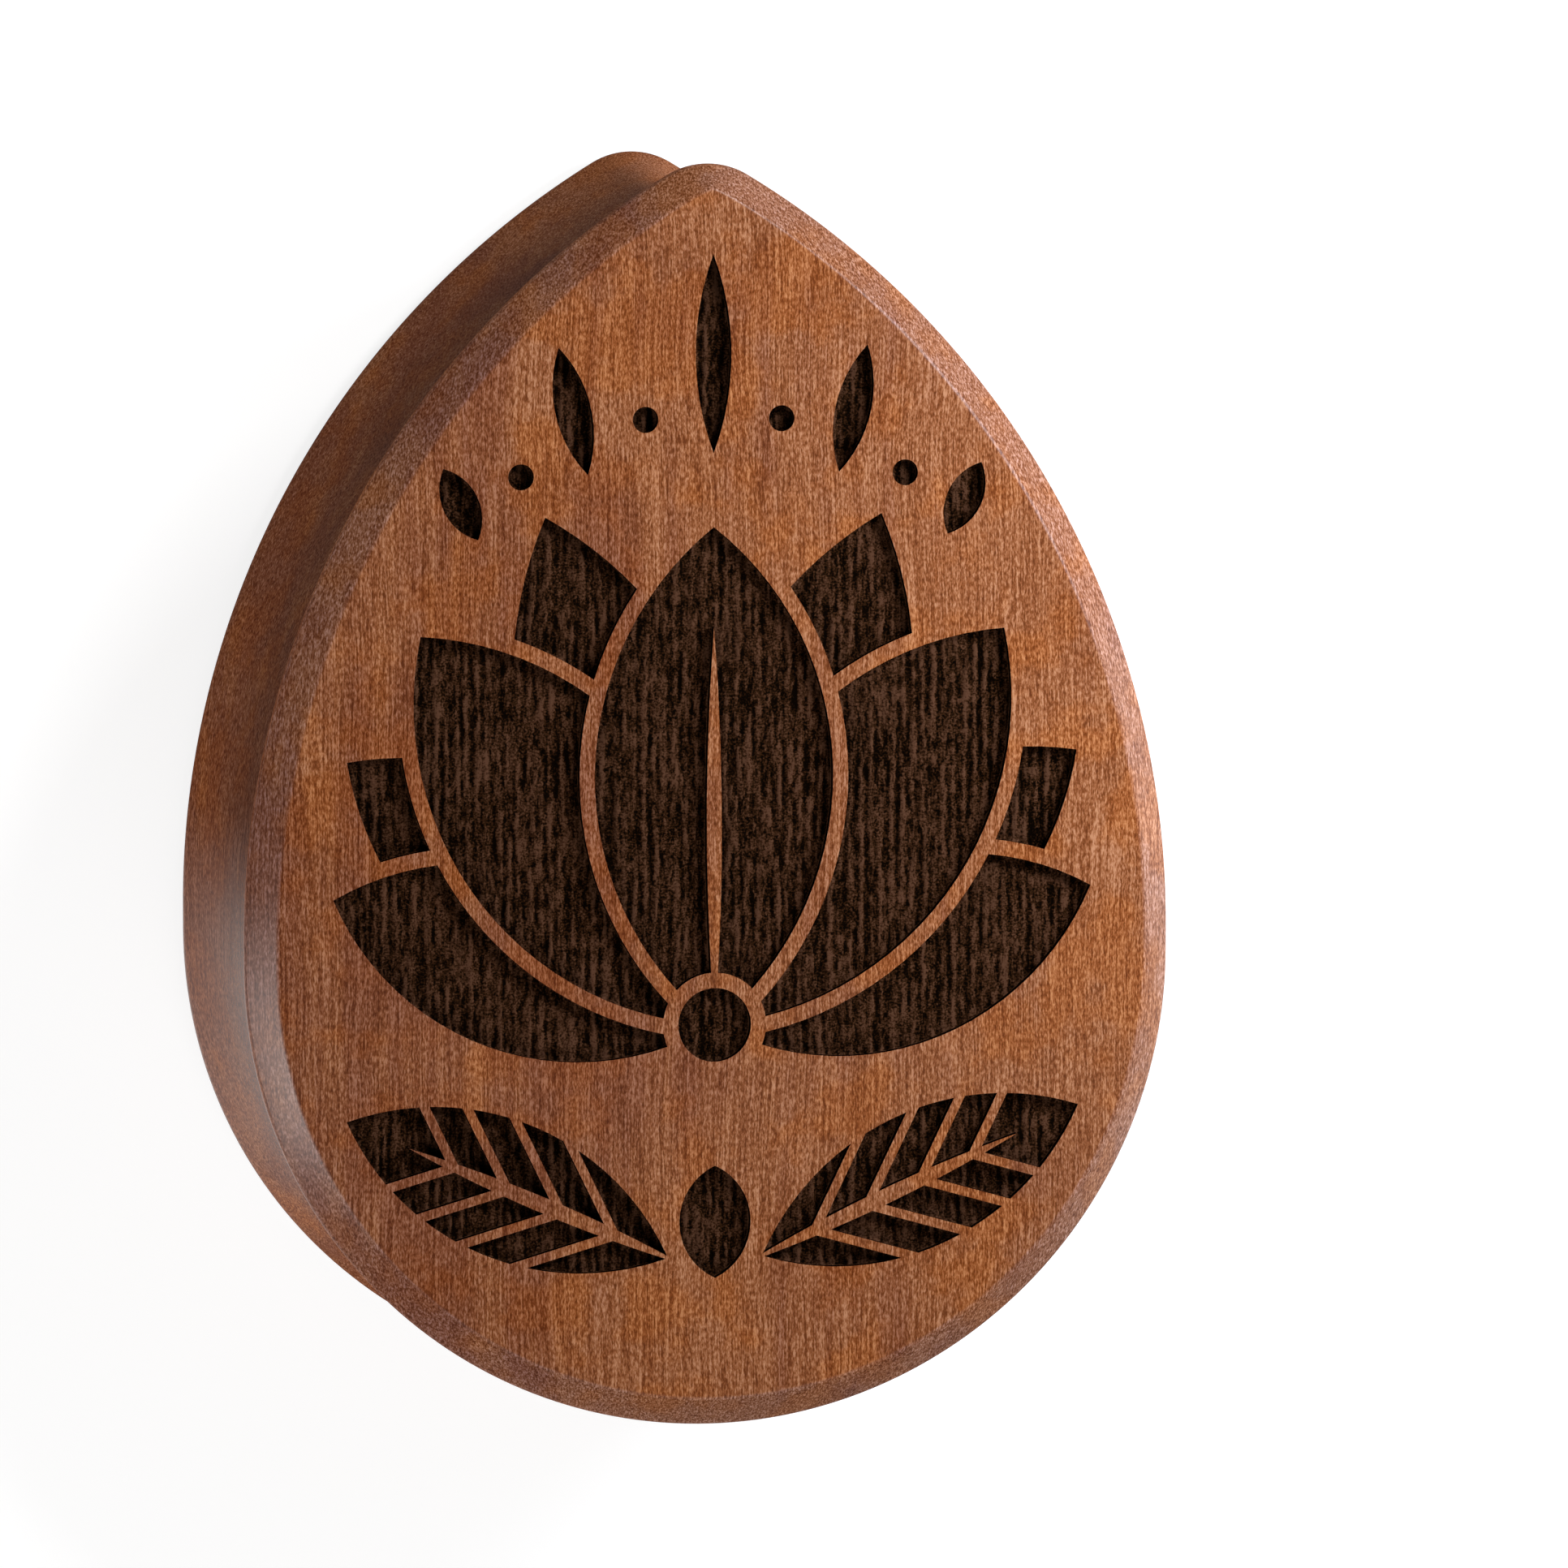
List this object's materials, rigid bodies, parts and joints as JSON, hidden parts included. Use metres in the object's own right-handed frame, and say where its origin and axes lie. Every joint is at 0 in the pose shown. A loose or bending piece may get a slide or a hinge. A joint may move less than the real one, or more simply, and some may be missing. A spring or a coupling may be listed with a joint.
{
  "type": "teardrop ear plug",
  "caption": "Solid wooden teardrop ear plug with two flares, a concave saddle between them, bevelled faces and an engraved flower on the front.",
  "frame": {"origin": "middle of the plug's width and height, on the flat back face that it lies on", "axes": "+Z from the back face to the engraved face, +Y from the round end to the tip, +X to the right as the engraved face is seen"},
  "size_m": [0.0306, 0.041, 0.015],
  "materials": {
    "wood": "fine vertical grain, sanded and lightly oiled; the engraved floors are burnt dark brown"
  },
  "bodies": {
    "root": {"plug": "wood"}
  },
  "joints": []
}
